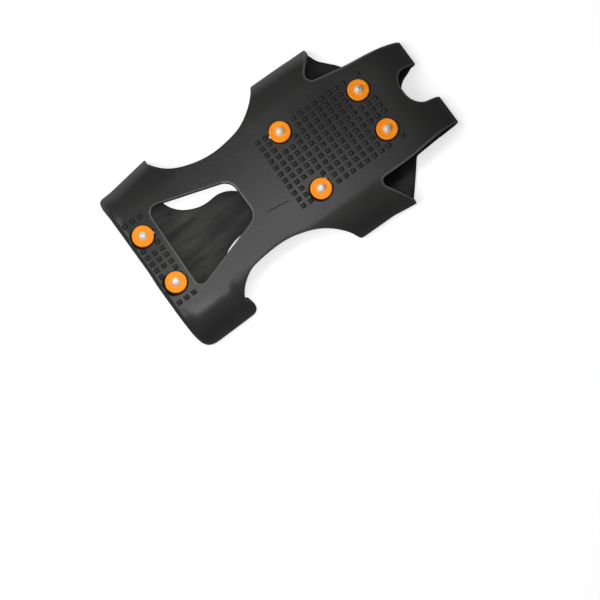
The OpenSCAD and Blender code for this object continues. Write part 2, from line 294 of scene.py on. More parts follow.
def laid_flat(x, y):
    """Where a point of the sole, seen from above, lies on the flat sheet."""
    if y > SIDE_Q:
        y = SIDE_Q + SIDE_RUN * asin(min(1, (y - SIDE_Q) / SHOULDER_R)) / (pi / 2)
    if x > TOE_P:
        if x < TOE_P + TOE_R * cos(TOE_TURN):
            x = TOE_P + TOE_R * (pi / 2 - acos((x - TOE_P) / TOE_R))
        else:
            turn = acos(min(1, (x - TOE_X + FOLD_R) / FOLD_R))
            x = TOE_P + TOE_RUN + FOLD_RUN * (TOE_TURN - turn) / (TOE_TURN + pi / 2)
    return x, y


SIDE_EDGE_Q = SIDE_Q + SIDE_RUN
SIDE_END_Q = SIDE_EDGE_Q + FOLD_RUN
TOE_END_P = TOE_P + TOE_RUN + FOLD_RUN
HEEL_END_P = HEEL_P - sum(roll_runs(1))


# Outlines are lists of points.
def rounded(corners, closed=True, reach=0.49):
    """An outline from corners (x, y, radius), each replaced by an arc that takes at most a reach of its sides."""
    points, count = [], len(corners)
    for i, (x, y, radius) in enumerate(corners):
        here = Vector((x, y))
        if radius == 0 or (not closed and i in (0, count - 1)):
            points.append(here)
            continue
        to_last = Vector(corners[i - 1][:2]) - here
        to_next = Vector(corners[(i + 1) % count][:2]) - here
        half = to_last.angle(to_next) / 2
        radius = min(radius, min(to_last.length, to_next.length) * reach * tan(half))
        to_last.normalize()
        to_next.normalize()
        middle = here + (to_last + to_next).normalized() * (radius / sin(half))
        first, last = (here + way * (radius / tan(half)) - middle for way in (to_last, to_next))
        turn = first.angle_signed(last)
        steps = max(3, ceil(abs(turn) * radius / EDGE_STEP))
        points += [middle + Matrix.Rotation(-turn * k / steps, 2) @ first for k in range(steps + 1)]
    return points


def curve_through(controls, steps=6):
    """Points of a smooth curve through the controls."""
    points = [Vector(c) for c in controls]
    ends = [2 * points[0] - points[1]] + points + [2 * points[-1] - points[-2]]
    curve = []
    for a, b, c, d in zip(ends, ends[1:], ends[2:], ends[3:]):
        for k in range(steps):
            t = k / steps
            curve.append(0.5 * (2 * b + (c - a) * t + (2 * a - 5 * b + 4 * c - d) * t ** 2
                                + (3 * b - a - 3 * c + d) * t ** 3))
    return curve + [points[-1]]


def spaced(points, closed=False, step=EDGE_STEP):
    """The line with its points about a step apart."""
    line = points + (points[:1] if closed else [])
    runs = [0.0]
    for a, b in zip(line, line[1:]):
        runs.append(runs[-1] + (b - a).length)
    count = max(1, round(runs[-1] / step))
    result, i = [], 0
    for k in range(count + (0 if closed else 1)):
        run = runs[-1] * k / count
        while i < len(line) - 2 and runs[i + 1] < run:
            i += 1
        share = (run - runs[i]) / max(1e-9, runs[i + 1] - runs[i])
        result.append(line[i].lerp(line[i + 1], min(1, share)))
    return result


def both_sides(half):
    """A closed outline from half(side), a side's line from the centre line round to it again."""
    left, right = half(1), half(-1)
    return left + [Vector((p.x, -p.y)) for p in reversed(right)][1:-1]


def joined(*lines):
    """Lines joined end to end."""
    result = list(lines[0])
    for line in lines[1:]:
        result += line[1:] if (line[0] - result[-1]).length < 1e-4 else line
    return result


def ring(centre, radius, count=36):
    turns = [tau * k / count for k in range(count)]
    return [Vector((centre[0] + radius * cos(turn), centre[1] + radius * sin(turn))) for turn in turns]


def waist_curve():
    """The edge of the waist, seen from above, from the heel wing to the forefoot wing."""
    rise, run = SIDE_Y - WAIST_Y, WING_REAR_X - WAIST_X
    radius = (run * run + rise * rise) / (2 * rise)
    turn = 2 * atan2(rise, run)
    steps = 40
    rear = [(WAIST_X - (WAIST_X - HEEL_WING_X) * sin(a), WAIST_Y + rise * (1 - cos(a)))
            for a in (pi / 2 * (1 - k / steps) for k in range(steps + 1))]
    front = [(WAIST_X + radius * sin(a), WAIST_Y + radius * (1 - cos(a)))
             for a in (turn * k / steps for k in range(1, steps + 1))]
    return rear + front


def flat_line(points):
    return [Vector(laid_flat(x, y)) for x, y in points]


# Numbers of points along the folds where the upper sheet meets the bands.
HEEL_COUNT = 16
CORNER_COUNT = 44
LOBE_COUNT = 20
WING_COUNT = 28
TOE_COUNT = 13

# The lobe in front of each heel wing has curled under on the left, and stands out on the right.
LOBE_X = {1: HEEL_WING_X + 1.5, -1: HEEL_WING_X + 4.4}
LOBE_ROOT_Y = {1: SIDE_Y - 1.5, -1: SIDE_Y - 6.2}
# The edge of each lobe from the fold up to its root: its reach past the wing, and the share of the way up.
LOBE_EDGE = {1: [(1.0, 0), (1.4, 0.25), (1.5, 0.5), (1.2, 0.78)],
             -1: [(0.2, 0), (0.9, 0.33), (3.4, 0.58), (4.4, 0.76), (3.7, 0.92)]}
LOBE_END_X = {side: HEEL_WING_X + edge[0][0] for side, edge in LOBE_EDGE.items()}

# The rear edge of a forefoot wing: points past the wing's rear line and past the end of the side's roll.
WING_REAR_EDGE = [(0.2, -4), (2.4, 3)]
WING_CORNER_X = WING_REAR_X + 4.5
WAIST_TOP_Y = SIDE_Y - 3


def heel_fold_line(side):
    """Where the heel meets the heel band on a side, from the centre line to the lobe, on the flat sheet."""
    heel = [Vector((HEEL_END_P, q)) for q in np.linspace(0, CORNER.y, HEEL_COUNT)]
    corner = []
    for angle in np.linspace(pi / 2, 0, CORNER_COUNT):
        away = CORNER_IN + sum(roll_runs(corner_heel(angle)))
        corner.append(Vector((CORNER.x - away * sin(angle), CORNER.y + away * cos(angle))))
    wing = [Vector((p, SIDE_END_Q)) for p in np.linspace(CORNER.x, LOBE_END_X[side], LOBE_COUNT)]
    return joined(heel, corner, wing)


def wing_fold_line():
    return [Vector((p, SIDE_END_Q)) for p in np.linspace(WING_CORNER_X, WING_FRONT_X, WING_COUNT)]


def horn_y(x):
    share = (x - SIDE_WINDOW[0]) / (HORN_LINE_END - SIDE_WINDOW[0])
    return SIDE_WINDOW[1] + (HORN_Y - SIDE_WINDOW[1]) * share


HORN_TIP_Y = horn_y(TOE_X - 2)


def toe_fold_line():
    return [Vector((TOE_END_P, q)) for q in np.linspace(HORN_TIP_Y, NOTCH_Y, TOE_COUNT)]


def notch_line(start_x):
    """The toe notch, seen from above, from a place on its side to the centre line."""
    return rounded([(start_x, NOTCH_Y, 0), (NOTCH_X, NOTCH_Y, NOTCH_R), (NOTCH_X, 0, 0)], closed=False, reach=1.0)


def upper_half(side):
    """The outline of a side of the upper sheet, laid flat, from the heel to the notch."""
    waist = [p for p in waist_curve() if p[1] < (LOBE_ROOT_Y[side] if p[0] < WAIST_X else WAIST_TOP_Y)]
    root = laid_flat(waist[0][0], LOBE_ROOT_Y[side])
    lobe = [(HEEL_WING_X + reach, SIDE_END_Q + (root[1] - SIDE_END_Q) * share) for reach, share in LOBE_EDGE[side]]
    lobe = curve_through(lobe + [root])
    waist = [Vector(root)] + flat_line(waist)
    wing_rear = [(WING_REAR_X + reach, SIDE_EDGE_Q + past) for reach, past in WING_REAR_EDGE]
    wing_rear = curve_through([waist[-1], *wing_rear, (WING_CORNER_X, SIDE_END_Q)])
    window = rounded([(WING_FRONT_X, SIDE_Y, 0), (*SIDE_WINDOW, SIDE_WINDOW_R), (TOE_X, horn_y(TOE_X), 0)],
                     closed=False)
    horn = flat_line(spaced(window, step=EDGE_STEP / 2))
    wing_front = [Vector((WING_FRONT_X, SIDE_END_Q)), horn[0]]
    horn_end = [horn[-1], Vector((TOE_END_P, HORN_TIP_Y))]
    notch = flat_line(spaced(notch_line(TOE_X), step=EDGE_STEP / 2))
    notch_end = [Vector((TOE_END_P, NOTCH_Y)), notch[0]]
    return joined(
        heel_fold_line(side), spaced(lobe), spaced(waist), spaced(wing_rear), wing_fold_line(), spaced(wing_front),
        spaced(horn), spaced(horn_end), toe_fold_line(), spaced(notch_end), spaced(notch))


def on_floor(line, side):
    """A line of the flat sheet as it lies on the floor, seen from above, on the left for both sides."""
    places = [upper_sheet(p.x, side * p.y)[0] for p in line]
    return [Vector((x, side * y)) for x, y, _ in places]


def heel_band_half(side):
    fold = on_floor(heel_fold_line(side), side)
    end = fold[-1]
    lobe = rounded([(end.x, end.y, 0), (LOBE_X[side], LOBE_Y, LOBE_RADII[0]), (HEEL_RIM_X, LOBE_Y, LOBE_RADII[1]),
                    (HEEL_RIM_X, TONGUE[side][0][1], 0)], closed=False)
    return joined(fold, spaced(lobe), spaced(curve_through(TONGUE[side])))


# The left edge of the toe band curves in beside the side window, and its notch is narrower there.
BAND_BEND = {1: [(55.5, 47.4, 10), (61.8, 40.8, 10)], -1: []}
BAND_NOTCH = [(97.5, 10.9), (92.0, 8.8), (87.6, 5.0)]


def toe_band_half(side):
    wing = on_floor(wing_fold_line(), side)
    toe = on_floor(toe_fold_line(), side)
    rim = rounded([(TOE_RIM_X, 0, 0), (TOE_RIM_X, TOE_RIM_Y, TOE_RIM_R), (wing[0].x, wing[0].y, 0)], closed=False)
    window = rounded([(wing[-1].x, wing[-1].y, 0), *BAND_BEND[side], (*BAND_WINDOW, SIDE_WINDOW_R),
                      (toe[0].x, toe[0].y, 0)], closed=False)
    if side > 0:
        notch = curve_through([(toe[-1].x, NOTCH_Y), *BAND_NOTCH, (NOTCH_X, 0)])
    else:
        notch = notch_line(toe[-1].x)
    return joined(spaced(rim), wing, spaced(window), toe, spaced(notch))


def inside(points, outline):
    """Which of the points lie inside the outline."""
    x, y = points[:, 0], points[:, 1]
    result = np.zeros(len(points), bool)
    corners = np.array([tuple(p) for p in outline])
    for (x0, y0), (x1, y1) in zip(corners, np.roll(corners, -1, axis=0)):
        crosses = (y0 > y) != (y1 > y)
        if crosses.any():
            at = x0 + (y - y0) * (x1 - x0) / (y1 - y0)
            result ^= crosses & (x < at)
    return result


def inset(loop, depth):
    """Points at a depth inside a closed outline, or outside it for a depth below 0."""
    area = sum(a.cross(b) for a, b in zip(loop, loop[1:] + loop[:1]))
    made = []
    for a, b, c in zip(loop[-1:] + loop[:-1], loop, loop[1:] + loop[:1]):
        along = (c - a).normalized()
        point = b + Vector((-along.y, along.x)) * copysign(depth, area * depth)
        if min((point - p).length for p in loop) > INSET_CLEAR * abs(depth):
            made.append(point)
    return made


def clear_of(grid, others, share):
    """The points of a grid that lie further than a share of the mesh spacing from all the others."""
    near = np.array([np.min(np.sum((others - g) ** 2, axis=1)) for g in grid])
    return grid[near > (share * SHEET_STEP) ** 2]


def sheet_triangles(outline, holes=(), extra=()):
    """Points and triangles that fill an outline, with holes left open and extra points kept."""
    def filled(points):
        keep = inside(points, outline)
        for hole in holes:
            keep &= ~inside(points, hole)
        return keep

    loops = [outline, *holes]
    edge = np.array([tuple(p) for loop in loops for p in loop])
    low, high = edge.min(0), edge.max(0)
    rows = np.arange(low[1], high[1], SHEET_STEP * sqrt(3) / 2)
    grid = np.array([(x + (SHEET_STEP / 2 if i % 2 else 0), y) for i, y in enumerate(rows - rows.mean())
                     for x in np.arange(low[0], high[0], SHEET_STEP)])
    grid = clear_of(grid[filled(grid)], edge, EDGE_CLEAR)
    if extra:
        kept = np.array([tuple(e) for e in extra])
        grid = np.concatenate([clear_of(grid, kept, EXTRA_CLEAR), kept])
    points = [Vector(p) for p in (*edge, *grid)]
    edges, start = [], 0
    for loop in loops:
        edges += [(start + i, start + (i + 1) % len(loop)) for i in range(len(loop))]
        start += len(loop)
    made, _, faces, *_ = delaunay_2d_cdt(points, edges, [], 0, 1e-5)
    made = np.array([tuple(p) for p in made])
    faces = np.array([f for f in faces if len(f) == 3])
    return made, faces[filled(made[faces].mean(axis=1))]


def stud_ring(centre, radius, count=36):
    """A ring round a stud's axis, as it lies on the flat sheet."""
    points = ring(centre, radius, count)
    for point in points:
        if point.x < HEEL_P:
            turn = asin(min(1, (HEEL_P - point.x) / HEEL_R))
            point.x = HEEL_P - HEEL_EDGE_RUN * turn / (pi / 2)
    return points


def groove_points():
    """The rings of points that shape the groove round each disc, on the flat sheet."""
    radii = (GROOVE_BOTTOM_R, GROOVE_WALL_R, GROOVE_FLAT_R)
    return [p for centre in STUD_CENTRES.values() for radius in radii for p in stud_ring(centre, radius, SEAT_SIDES)]


def stud_distance(point):
    return min((point.xy - c).length for c in STUD_CENTRES.values())


# Two shallow round dimples (x, y, radius) beside the root of the tongue, and the rings of points that shape them.
DIMPLES = [(-73.7, 23.2, 1.5), (-78.7, -20.1, 2.6)]
DIMPLE_DEPTH = 1.5
DIMPLE_RINGS = (0.4, 0.8, 1.2)
DIMPLE_COUNT = 10


def dimple_points():
    rings = [p for x, y, radius in DIMPLES for share in DIMPLE_RINGS
             for p in ring((x, y), share * radius, DIMPLE_COUNT)]
    return rings + [Vector((x, y)) for x, y, _ in DIMPLES]


def band_thickness(x, y):
    away = min(hypot(x - cx, y - cy) / radius for cx, cy, radius in DIMPLES)
    return BAND_T - DIMPLE_DEPTH * (1 - ramp(away, 0, 1))


def lie(x, y, z):
    """Where a point of the soft overshoe has settled as it lies. The studs and nubs stay where they are.

    Each move is its greatest amount, times the ramps that keep it to its place."""
    # The left side of the heel has moved in, and its right side a little out.
    behind = part_way(x, -67, -105)
    dy = -6.0 * behind * ramp(y, 28, 56) - 1.1 * behind * ramp(-y, 28, 56)
    # The toe and its horns have moved to the right, but not the left edge of the toe band.
    toe = (1.4 + 1.6 * ramp(abs(y), 14, 25)) * ramp(x, 71, 93)
    band_edge = ramp(y, 34, 40) * ramp(z, 8, 4)
    horn = 3.0 * (1 - (1 - part_way(x, 38, 70)) ** 1.5) * ramp(abs(y), 25.5, 32.5) * (1 - band_edge)
    dy -= (1 - 0.24 * ramp(y, 0, 12)) * max(toe, horn)
    # The right edge of the waist has moved in, the left side and its waist out, and the bands to the left.
    waist = ramp(x, -73, -65) * ramp(x, -22, -42) * ramp(y, -33, -39) * ramp(y, -58, -52)
    dy += 1.8 * waist + (0.9 - 0.4 * ramp(x, -30, 10)) * ramp(y, 36, 50)
    dy += 0.8 * ramp(x, -73, -65) * ramp(x, -8, -24) * ramp(y, 28, 33) * ramp(y, 44, 36)
    dy += (0.4 + 0.7 * ramp(y, -10, 10)) * (1 - z / HEIGHT)
    # The heel's edge, the right edge of the waist and the toe's edge have moved back.
    dx = -(0.9 + 0.6 * ramp(y, 0, -15)) * ramp(x, -92, -102) - 1.2 * waist
    dx -= 0.7 * ramp(x, 84, 98)
    # The rear of the forefoot wings has moved forward on the left and back on the right.
    dx += (0.6 if y > 0 else 1.2) * (y / SIDE_Y) * ramp(x, -26, -10) * ramp(x, 18, 2)
    # The tongue rises towards its end.
    dz = 2.2 * ramp(x, -62, -28) * ramp(x, -20, -24) if z < BAND_TOP_Z else 0.0
    return x + dx, y + dy, z + dz


def overshoe_mesh():
    bm = bmesh.new()
    thickness = bm.verts.layers.float.new("thickness")

    def add(points, faces, place):
        made = []
        for point in points:
            spot, thick = place(*point)
            vert = bm.verts.new(spot)
            vert[thickness] = thick
            made.append(vert)
        for face in faces:
            bm.faces.new([made[i] for i in face])

    heel_window = spaced(rounded(HEEL_WINDOW), closed=True)
    seats = [stud_ring(centre, SEAT_R) for centre in STUD_CENTRES.values()]
    upper = both_sides(upper_half)
    beside_edges = inset(upper, HIGHLIGHT_W) + inset(heel_window, -HIGHLIGHT_W)
    add(*sheet_triangles(upper, [heel_window] + seats, beside_edges + groove_points()), upper_sheet)
    for half, extra in ((heel_band_half, dimple_points()), (toe_band_half, [])):
        add(*sheet_triangles(both_sides(half), extra=extra), lambda x, y: ((x, y, 0.0), band_thickness(x, y)))
    bmesh.ops.remove_doubles(bm, verts=bm.verts, dist=0.02)
    bmesh.ops.recalc_face_normals(bm, faces=bm.faces)
    top = max(bm.faces, key=lambda f: f.calc_center_median().z)
    if top.normal.z < 0:
        bmesh.ops.reverse_faces(bm, faces=bm.faces)
    bm.normal_update()
    return bm, thickness


def thickened(bm, thickness):
    """The sheet with its inside face and rounded cut edges: points, faces, and for each point its painted highlight,
    its painted shade and its inside-face weight.
    """
    bm.verts.index_update()
    verts = list(bm.verts)
    points = [v.co.copy() for v in verts]
    inner = [v.co - v.normal * v[thickness] for v in verts]
    count = len(verts)
    points += inner
    painted_highlight, cut = [0.0] * (2 * count), [0.0] * (2 * count)
    # The sole sinks into the groove round each disc, and the groove's bottom gets painted shade.
    for index in range(count):
        if points[index].z > HEIGHT / 2 and stud_distance(points[index]) < (GROOVE_BOTTOM_R + GROOVE_WALL_R) / 2:
            points[index].z -= GROOVE_DEPTH
            cut[index] = 1.0
    faces = [[v.index for v in f.verts] for f in bm.faces]
    faces += [[v.index + count for v in reversed(f.verts)] for f in bm.faces]
    boundary = [e.link_loops[0] for e in bm.edges if len(e.link_faces) == 1]
    outward = {}
    for loop in boundary:
        along = loop.link_loop_next.vert.co - loop.vert.co
        out = along.cross(loop.face.normal).normalized()
        for v in loop.edge.verts:
            outward[v.index] = outward.get(v.index, Vector()) + out
    rims = {}
    for index, out in outward.items():
        v = verts[index]
        out = (out - v.normal * out.dot(v.normal)).normalized()
        hole = stud_distance(v.co) < SEAT_R + SEAT_MARGIN
        if hole:
            inner[index].xy = v.co.xy
        bulge = HOLE_BULGE if hole else RIM_BULGE
        middle, half = (points[index] + inner[index]) / 2, (points[index] - inner[index]) / 2
        # Every cut edge except a seat hole's gets a painted highlight on the first step of its rounding and painted
        # shade on the rest of its flank. At the windows, the painted highlight reaches onto the face beside the
        # edge, and it is faint on one side of the heel window.
        window = v.co.z > BAND_TOP_Z and (v.co.x > TOE_EDGES_X or abs(v.co.y) < WINDOW_Y)
        dim_side = DIM_HIGHLIGHT_X[0] < v.co.x < DIM_HIGHLIGHT_X[1] and DIM_HIGHLIGHT_Y[0] < v.co.y < DIM_HIGHLIGHT_Y[1]
        wear_and_highlight = DIM_HIGHLIGHT if dim_side else 1.0
        painted_highlight[index] = FACE_HIGHLIGHT * wear_and_highlight if window and not hole else 0.0
        rim = [index]
        for k in range(1, RIM_STEPS):
            turn = pi * k / RIM_STEPS
            up = copysign(abs(cos(turn)) ** RIM_SQUARENESS, cos(turn))
            rim.append(len(points))
            points.append(middle + half * up + out * bulge * sin(turn) ** RIM_SQUARENESS)
            painted_highlight.append(wear_and_highlight if k == 1 and not hole else 0.0)
            cut.append(1.0 if k > 1 and not hole else 0.0)
        rim.append(index + count)
        rims[index] = rim
    for loop in boundary:
        a, b = rims[loop.vert.index], rims[loop.link_loop_next.vert.index]
        for k in range(RIM_STEPS):
            faces.append([b[k], a[k], a[k + 1], b[k + 1]])
    # The inside face's weight, which carries its duller finish and its painted light and shade.
    dull = [1 - DULL_LOSS * ramp(v.co.x, *DULL_X) for v in verts]
    inside_face = [0.0] * count + dull + [0.0] * (len(points) - 2 * count)
    return points, faces, {"painted_highlight": painted_highlight, "cut": cut, "inside_face": inside_face}


def lathe(profile, sides, centre, closed=False):
    """Points and faces of a turned shape from pairs of a radius and a height."""
    points, faces, rows = [], [], []
    for radius, z in profile:
        if radius < 1e-6:
            rows.append([len(points)])
            points.append(Vector((centre[0], centre[1], z)))
            continue
        rows.append(range(len(points), len(points) + sides))
        points += [Vector((*p, z)) for p in ring(centre, radius, sides)]
    pairs = list(zip(rows, rows[1:])) + ([(rows[-1], rows[0])] if closed else [])
    for a, b in pairs:
        for k in range(sides):
            n = (k + 1) % sides
            face = list(dict.fromkeys([a[k % len(a)], a[n % len(a)], b[n % len(b)], b[k % len(b)]]))
            if len(face) > 2:
                faces.append(face)
    return points, faces


def lofted(sections):
    """Points and faces of a closed shape through sections of as many points each."""
    points = [p for section in sections for p in section]
    sides, faces = len(sections[0]), []
    last = len(points) - sides
    for start in range(0, last, sides):
        for k in range(sides):
            n = (k + 1) % sides
            faces.append([start + k, start + n, start + sides + n, start + sides + k])
    return points, faces + [list(range(sides - 1, -1, -1)), [last + k for k in range(sides)]]


def finished(name, mesh, attributes):
    """A smooth-shaded piece with its faces turned outwards and one number per point for each attribute."""
    for key, values in attributes.items():
        mesh.attributes.new(key, "FLOAT", "POINT").data.foreach_set("value", values)
    mesh.polygons.foreach_set("use_smooth", [True] * len(mesh.polygons))
    bm = bmesh.new()
    bm.from_mesh(mesh)
    bmesh.ops.remove_doubles(bm, verts=bm.verts, dist=1e-6)
    bmesh.ops.recalc_face_normals(bm, faces=bm.faces)
    bm.to_mesh(mesh)
    bm.free()
    return linked(name, mesh)


def mesh_object(name, points, faces, material, attributes):
    """A piece from points in millimetres."""
    mesh = bpy.data.meshes.new(name)
    mesh.from_pydata([tuple(p * MM) for p in points], [], faces)
    mesh.materials.append(material)
    return finished(name, mesh, attributes)


# Materials
def new_material(name):
    material = bpy.data.materials.new(name)
    material.use_nodes = True
    tree = material.node_tree
    return material, tree, tree.nodes["Principled BSDF"], node(tree, "ShaderNodeTexCoord")["Object"]


def grey(value):
    return value, value, value, 1


def mixed(tree, share, low, high):
    return node(tree, "ShaderNodeMix", {0: share, 6: low, 7: high}, data_type="RGBA")[2]


def ranged(tree, value, low, high, from_low=0, from_high=1):
    made = node(tree, "ShaderNodeMapRange", {"Value": value, "From Min": from_low, "From Max": from_high,
                                             "To Min": low, "To Max": high})
    return made["Result"]


def attribute(tree, name):
    return node(tree, "ShaderNodeAttribute", attribute_name=name)["Fac"]


def noise(tree, where, scale, detail, **more):
    return node(tree, "ShaderNodeTexNoise", {"Vector": where, "Scale": scale, "Detail": detail, **more})["Fac"]


def bumped(tree, height, strength, distance, **more):
    made = node(tree, "ShaderNodeBump", {"Height": height, "Strength": strength, "Distance": distance, **more})
    return made["Normal"]


def moulded_rubber():
    material, tree, shader, where = new_material("moulded_rubber")
    clouds = noise(tree, where, 30, 4, Roughness=0.55)
    specks = noise(tree, where, 900, 2)
    grain = noise(tree, where, 2600, 3, Roughness=0.6)
    skin = noise(tree, where, 420, 3)
    painted_highlight, cut, inside_face = (attribute(tree, name) for name in ("painted_highlight", "cut", "inside_face"))
    tone = mixed(tree, ranged(tree, clouds, 0, 1, 0.3, 0.7),
                 (0.02, 0.02, 0.0196, 1), (0.028, 0.0278, 0.0272, 1))
    tone = mixed(tree, ranged(tree, specks, 0, 0.3, 0.55, 0.8), tone, (0.045, 0.045, 0.044, 1))
    # The inside face's tone: lighter than the outer rubber, in streaks that are partly dust smears and partly
    # painted light.
    streak_space = node(tree, "ShaderNodeMapping", {"Vector": where, "Rotation": (0, 0, 0.35), "Scale": (0.3, 1.6, 1)})
    dust_and_light_streaks = noise(tree, streak_space[0], 95, 4, Roughness=0.6)
    inner = mixed(tree, ranged(tree, dust_and_light_streaks, 0, 1, 0.35, 0.65),
                  (0.026, 0.0258, 0.025, 1), (0.068, 0.0676, 0.066, 1))
    # From x -80 mm to -50 mm and on forward, the inside face darkens towards near black: painted shade under the
    # sole.
    along = node(tree, "ShaderNodeSeparateXYZ", {0: where})["X"]
    inner = mixed(tree, ranged(tree, along, 0, 0.6, -0.08, -0.05), inner, grey(0.004))
    tone = mixed(tree, inside_face, tone, inner)
    # A pale line on the tops of the cut edges: painted highlight.
    tone = mixed(tree, ranged(tree, painted_highlight, 0, 0.8), tone, (0.13, 0.13, 0.127, 1))
    # Near black on the flanks of the cut edges, in the grooves round the discs and at the nubs' feet: painted shade.
    tone = mixed(tree, ranged(tree, cut, 0, 0.8), tone, grey(0.006))
    gloss = ranged(tree, clouds, 0.28, 0.35, 0.3, 0.7)
    matte = node(tree, "ShaderNodeMath", {0: inside_face, 1: 0.4, 2: gloss}, operation="MULTIPLY_ADD")[0]
    relief = bumped(tree, skin, 0.12, 0.0006)
    relief = bumped(tree, grain, 0.2, 0.00015, Normal=relief)
    facing = node(tree, "ShaderNodeLayerWeight", {"Blend": 0.5})["Facing"]
    feed(tree, shader, {"Base Color": tone, "Roughness": matte, "Normal": relief,
                        "Specular IOR Level": ranged(tree, facing, 0.25, 0.02, 0.45, 0.9)})
    return material


def orange_plastic():
    material, tree, shader, where = new_material("orange_plastic")
    flow = noise(tree, where, 260, 3, Distortion=1.2)
    grain = noise(tree, where, 3000, 2)
    on_nib = attribute(tree, "nib")
    tone = mixed(tree, ranged(tree, flow, 0, 1, 0.35, 0.65), (0.86, 0.242, 0.006, 1), (0.9, 0.29, 0.01, 1))
    tone = mixed(tree, ranged(tree, on_nib, 0, 0.9), tone, (0.98, 0.82, 0.55, 1))
    feed(tree, shader, {"Base Color": tone, "Roughness": ranged(tree, flow, 0.34, 0.46, 0.3, 0.7),
                        "Specular IOR Level": 0.15, "Normal": bumped(tree, grain, 0.08, 0.0001)})
    return material


def turned_metal(name, low, high, rough_low, rough_high, rings, metal=1):
    """A metal with fine rings about its axis, from the distance that each point keeps to it."""
    material, tree, shader, where = new_material(name)
    away = attribute(tree, "turned")
    stain = noise(tree, where, 500, 4)
    turns = node(tree, "ShaderNodeTexNoise", {"W": away, "Scale": rings, "Detail": 2}, noise_dimensions="1D")
    turns = turns["Fac"]
    tone = mixed(tree, ranged(tree, stain, 0, 1, 0.35, 0.65), low, high)
    feed(tree, shader, {"Base Color": tone, "Roughness": ranged(tree, turns, rough_low, rough_high, 0.3, 0.7),
                        "Normal": bumped(tree, turns, 0.25, 0.0001), "Metallic": metal})
    return material


RUBBER = moulded_rubber()
ORANGE = orange_plastic()
STEEL = turned_metal("turned_steel", (0.8, 0.8, 0.74, 1), (0.88, 0.88, 0.82, 1), 0.38, 0.55, 9, 0.5)
CARBIDE = turned_metal("ground_carbide", (0.5, 0.62, 0.65, 1), (0.62, 0.75, 0.78, 1), 0.3, 0.42, 14)


# Overshoe
def seat_ring(centre):
    """The rubber round a spike's shank, between its root and its disc. It laps the sole a little."""
    top, outer = HEIGHT - 0.02, SEAT_R + 0.15
    return lathe([(SHANK_HOLE_R, SEAT_TOP_Z), (outer, SEAT_TOP_Z), (outer, top), (SHANK_HOLE_R, top)],
                 SEAT_SIDES, centre, closed=True)


MOULD_LINE = [(-26.5, -14.1), (-19.5, -14.9), (-12.0, -16.0)]
MOULD_LINE_W = 0.75
MOULD_LINE_H = 0.4
MOULD_LINE_ROOT = 0.1
MOULD_LINE_SIDES = 6


def mould_line():
    """A fine line that the mould left on the sole."""
    line = [Vector((*p, HEIGHT)) for p in curve_through(MOULD_LINE, 8)]
    turns = [pi * k / (MOULD_LINE_SIDES - 1) for k in range(MOULD_LINE_SIDES)]
    sections = []
    for i, p in enumerate(line):
        along = (line[min(i + 1, len(line) - 1)] - line[max(i - 1, 0)]).normalized()
        across = Vector((-along.y, along.x, 0))
        rise = MOULD_LINE_H * sin(pi * (i + 0.5) / len(line)) ** 0.5 + MOULD_LINE_ROOT
        sections.append([p + across * (MOULD_LINE_W / 2 * cos(turn))
                         + Vector((0, 0, -MOULD_LINE_ROOT + rise * sin(turn))) for turn in turns])
    return lofted(sections)


def make_overshoe():
    bm, thickness = overshoe_mesh()
    points, faces, finish = thickened(bm, thickness)
    bm.free()
    points = [Vector(lie(*p)) for p in points]
    for more_points, more_faces in [*map(seat_ring, STUD_CENTRES.values()), mould_line()]:
        start = len(points)
        points += more_points
        faces += [[start + i for i in face] for face in more_faces]
        for values in finish.values():
            values += [0.0] * len(more_points)
    piece = mesh_object("rubber_overshoe", points, faces, RUBBER, finish)
    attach(piece, "overshoe")
    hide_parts("overshoe")


# Tread nubs
NUB_INPUTS = {
    "Pitch Along": 5.3, "Pitch Across": 4.75, "Rows": 15, "Columns": 11, "Middle X": 30.9,
    "Heel Rows": 3, "Heel Columns": 13, "Heel Middle X": -96.2, "Nub Length": 3.6, "Nub Width": 3.4,
    "Nub Height": 1.75, "Nub Root": 0.3, "Taper": 0.32, "Edge": 0.25, "Keep Off": 9.35, "Tread Height": HEIGHT,
}


